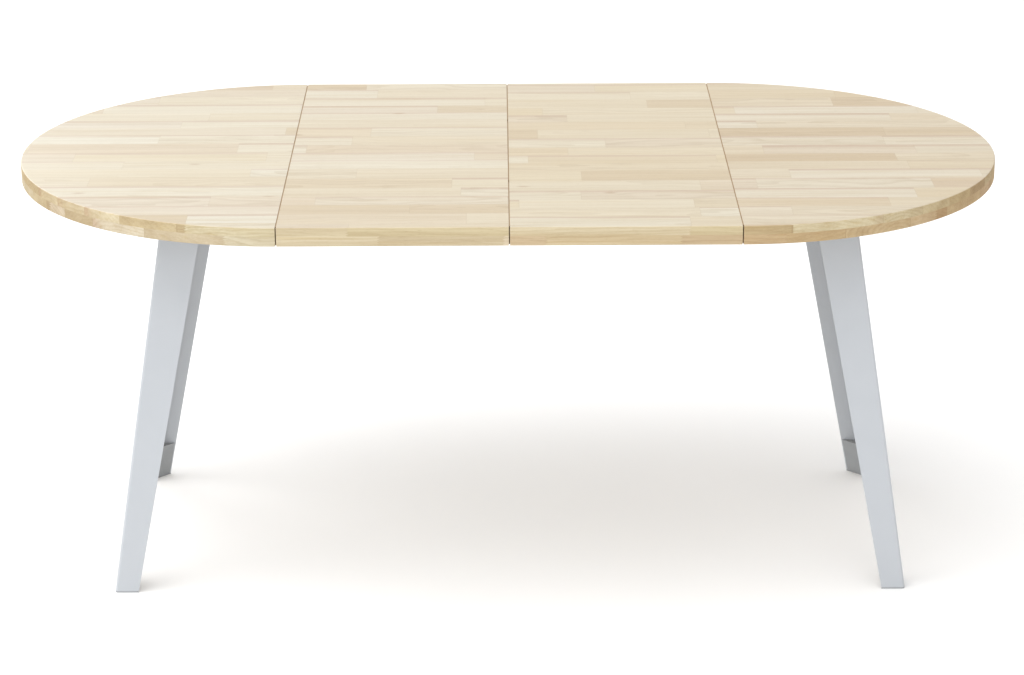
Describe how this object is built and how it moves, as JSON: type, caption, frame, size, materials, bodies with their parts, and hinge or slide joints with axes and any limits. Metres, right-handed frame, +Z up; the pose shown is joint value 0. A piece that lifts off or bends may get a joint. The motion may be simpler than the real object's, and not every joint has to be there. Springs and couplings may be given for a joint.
{
  "type": "butterfly leaf table",
  "caption": "Extending round dining table with a folding two-wing leaf, geared slides and splayed sheet-steel legs.",
  "frame": {"origin": "on the floor under the middle of the drawn-out table", "axes": "+X along the extension to the right, +Y away from the viewer, +Z up"},
  "size_m": [1.7998, 1, 0.76],
  "materials": {
    "top_wood": "oiled finger-jointed hardwood",
    "band_wood": "oiled finger-jointed hardwood",
    "slide_wood": "plain beech",
    "leg_coat": "light grey powder coat",
    "foot_plastic": "moulded, fine grain",
    "gear_nylon": "natural nylon",
    "pad_rubber": "matt",
    "frame_steel": "dark powder coat",
    "fitting_steel": "zinc plated"
  },
  "bodies": {
    "centre_frame": {"front_carrier": "frame_steel", "back_carrier": "frame_steel", "left_cross_tube": "frame_steel", "right_cross_tube": "frame_steel", "carrier_bolts": "fitting_steel", "front_pinion_axle": "fitting_steel", "back_pinion_axle": "fitting_steel", "front_spine_bracket": "frame_steel", "back_spine_bracket": "frame_steel", "wing_hinge_pins": "fitting_steel", "bracket_rivets": "fitting_steel"},
    "front_pinion": {"front_pinion": "gear_nylon"},
    "back_pinion": {"back_pinion": "gear_nylon"},
    "right_half": {"right_top_board": "top_wood", "right_rim_band": "band_wood", "right_packers": "slide_wood", "right_runner_screws": "fitting_steel", "right_seam_tongues": "fitting_steel", "right_leg_screws": "fitting_steel", "right_latch_pivots": "fitting_steel", "right_front_runner": "slide_wood", "right_front_rack": "gear_nylon", "right_front_leg": "leg_coat", "right_front_foot_block": "foot_plastic", "right_back_runner": "slide_wood", "right_back_rack": "gear_nylon", "right_back_leg": "leg_coat", "right_back_foot_block": "foot_plastic"},
    "right_wing": {"right_wing_board": "top_wood", "right_wing_front_band": "band_wood", "right_wing_back_band": "band_wood", "right_hinge_plates": "fitting_steel", "right_rest_pads": "pad_rubber", "right_latch_studs": "fitting_steel"},
    "right_front_latch": {"right_front_latch": "fitting_steel"},
    "right_back_latch": {"right_back_latch": "fitting_steel"},
    "left_half": {"left_top_board": "top_wood", "left_rim_band": "band_wood", "left_packers": "slide_wood", "left_runner_screws": "fitting_steel", "left_seam_tongues": "fitting_steel", "left_leg_screws": "fitting_steel", "left_latch_pivots": "fitting_steel", "left_front_runner": "slide_wood", "left_front_rack": "gear_nylon", "left_front_leg": "leg_coat", "left_front_foot_block": "foot_plastic", "left_back_runner": "slide_wood", "left_back_rack": "gear_nylon", "left_back_leg": "leg_coat", "left_back_foot_block": "foot_plastic"},
    "left_wing": {"left_wing_board": "top_wood", "left_wing_front_band": "band_wood", "left_wing_back_band": "band_wood", "left_hinge_plates": "fitting_steel", "left_rest_pads": "pad_rubber", "left_latch_studs": "fitting_steel"},
    "left_front_latch": {"left_front_latch": "fitting_steel"},
    "left_back_latch": {"left_back_latch": "fitting_steel"}
  },
  "joints": [
    {"name": "right_half_slide", "type": "slide", "parent": "centre_frame", "child": "right_half", "axis": [1, 0, 0], "range_m": [0, 0.03]},
    {"name": "left_half_slide", "type": "slide", "parent": "centre_frame", "child": "left_half", "axis": [-1, 0, 0], "range_m": [0, 0.03]},
    {"name": "front_pinion_spin", "type": "hinge", "parent": "centre_frame", "child": "front_pinion", "pos_m": [0, -0.15, 0.704], "axis": [0, 0, -1], "range_deg": [0, 86]},
    {"name": "back_pinion_spin", "type": "hinge", "parent": "centre_frame", "child": "back_pinion", "pos_m": [0, 0.15, 0.704], "axis": [0, 0, -1], "range_deg": [0, 86]},
    {"name": "right_wing_fold", "type": "hinge", "parent": "centre_frame", "child": "right_wing", "pos_m": [0.025, 0, 0.754], "axis": [0, -1, 0], "range_deg": [0, 90]},
    {"name": "left_wing_fold", "type": "hinge", "parent": "centre_frame", "child": "left_wing", "pos_m": [-0.025, 0, 0.754], "axis": [0, 1, 0], "range_deg": [0, 90]},
    {"name": "right_front_latch_turn", "type": "hinge", "parent": "right_half", "child": "right_front_latch", "pos_m": [0.445, -0.28, 0.7375], "axis": [0, 0, -1], "range_deg": [0, 90]},
    {"name": "right_back_latch_turn", "type": "hinge", "parent": "right_half", "child": "right_back_latch", "pos_m": [0.445, 0.28, 0.7375], "axis": [0, 0, 1], "range_deg": [0, 90]},
    {"name": "left_front_latch_turn", "type": "hinge", "parent": "left_half", "child": "left_front_latch", "pos_m": [-0.445, -0.28, 0.7375], "axis": [0, 0, 1], "range_deg": [0, 90]},
    {"name": "left_back_latch_turn", "type": "hinge", "parent": "left_half", "child": "left_back_latch", "pos_m": [-0.445, 0.28, 0.7375], "axis": [0, 0, -1], "range_deg": [0, 90]}
  ],
  "couplings": [
    {"joint": "left_half_slide", "follows": "right_half_slide", "ratio": 1},
    {"joint": "front_pinion_spin", "follows": "right_half_slide", "rad_per_m": 50},
    {"joint": "back_pinion_spin", "follows": "right_half_slide", "rad_per_m": 50}
  ]
}
